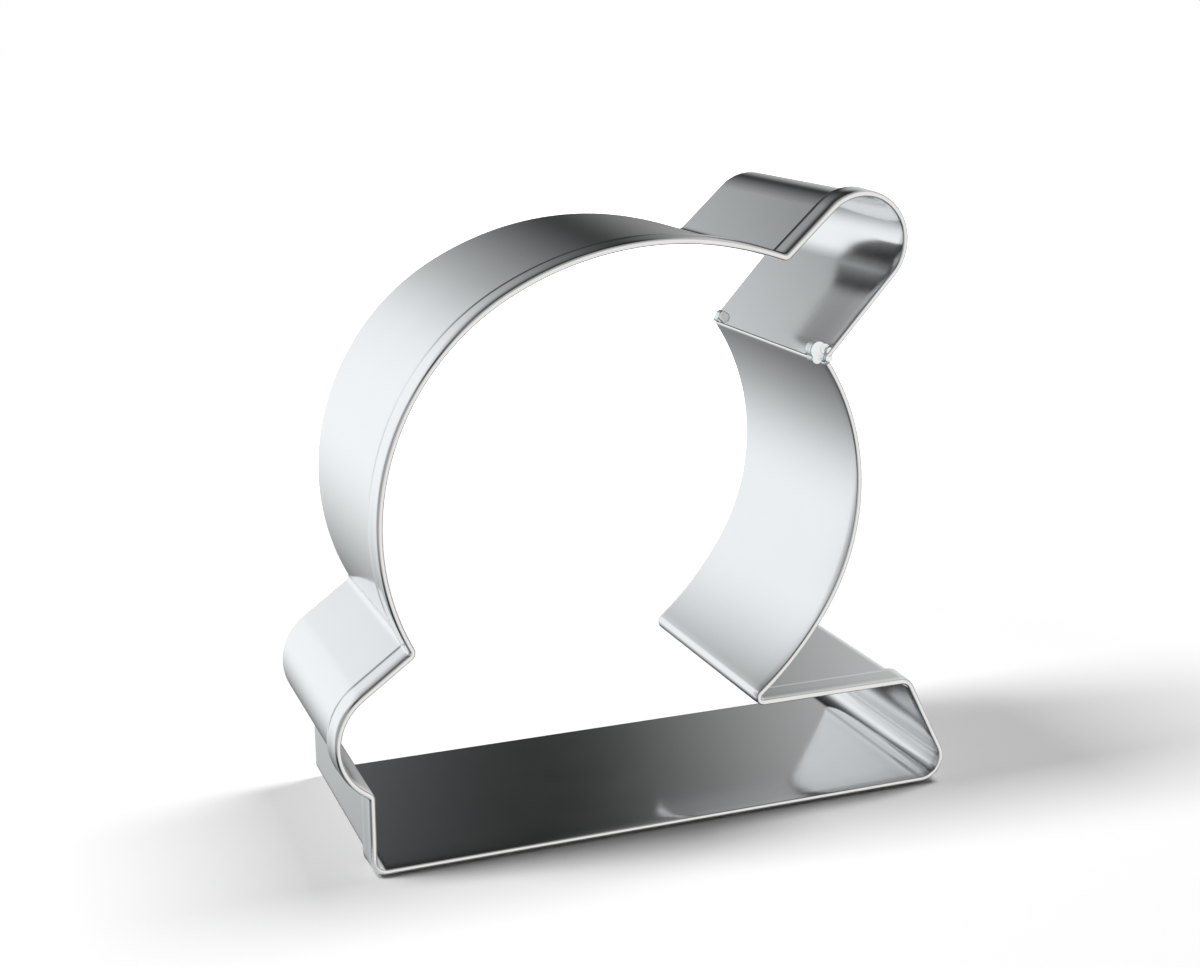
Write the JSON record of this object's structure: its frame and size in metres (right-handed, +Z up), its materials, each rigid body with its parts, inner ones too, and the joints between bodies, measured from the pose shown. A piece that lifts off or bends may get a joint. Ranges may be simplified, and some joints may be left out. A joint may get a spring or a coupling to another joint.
{
  "type": "cookie cutter",
  "caption": "Stainless-steel cookie cutter: a hemmed strip bent to a round body with a round-ended stub on a low stand, closed by welds.",
  "frame": {"origin": "on the surface that the cutter stands on, under the middle of its box", "axes": "+X to the right seen from the rim side, along the stand; +Z up; the hemmed rim is towards -Y and the cutting edge towards +Y"},
  "size_m": [0.065, 0.025, 0.0623],
  "materials": {
    "steel_sheet": "bright rolled stainless sheet",
    "weld_metal": "bare weld bead"
  },
  "bodies": {
    "root": {"cutter_strip": "steel_sheet", "front_tack_weld": "weld_metal", "rear_tack_weld": "weld_metal", "spot_weld_1": "weld_metal", "spot_weld_2": "weld_metal", "spot_weld_3": "weld_metal"}
  },
  "joints": []
}
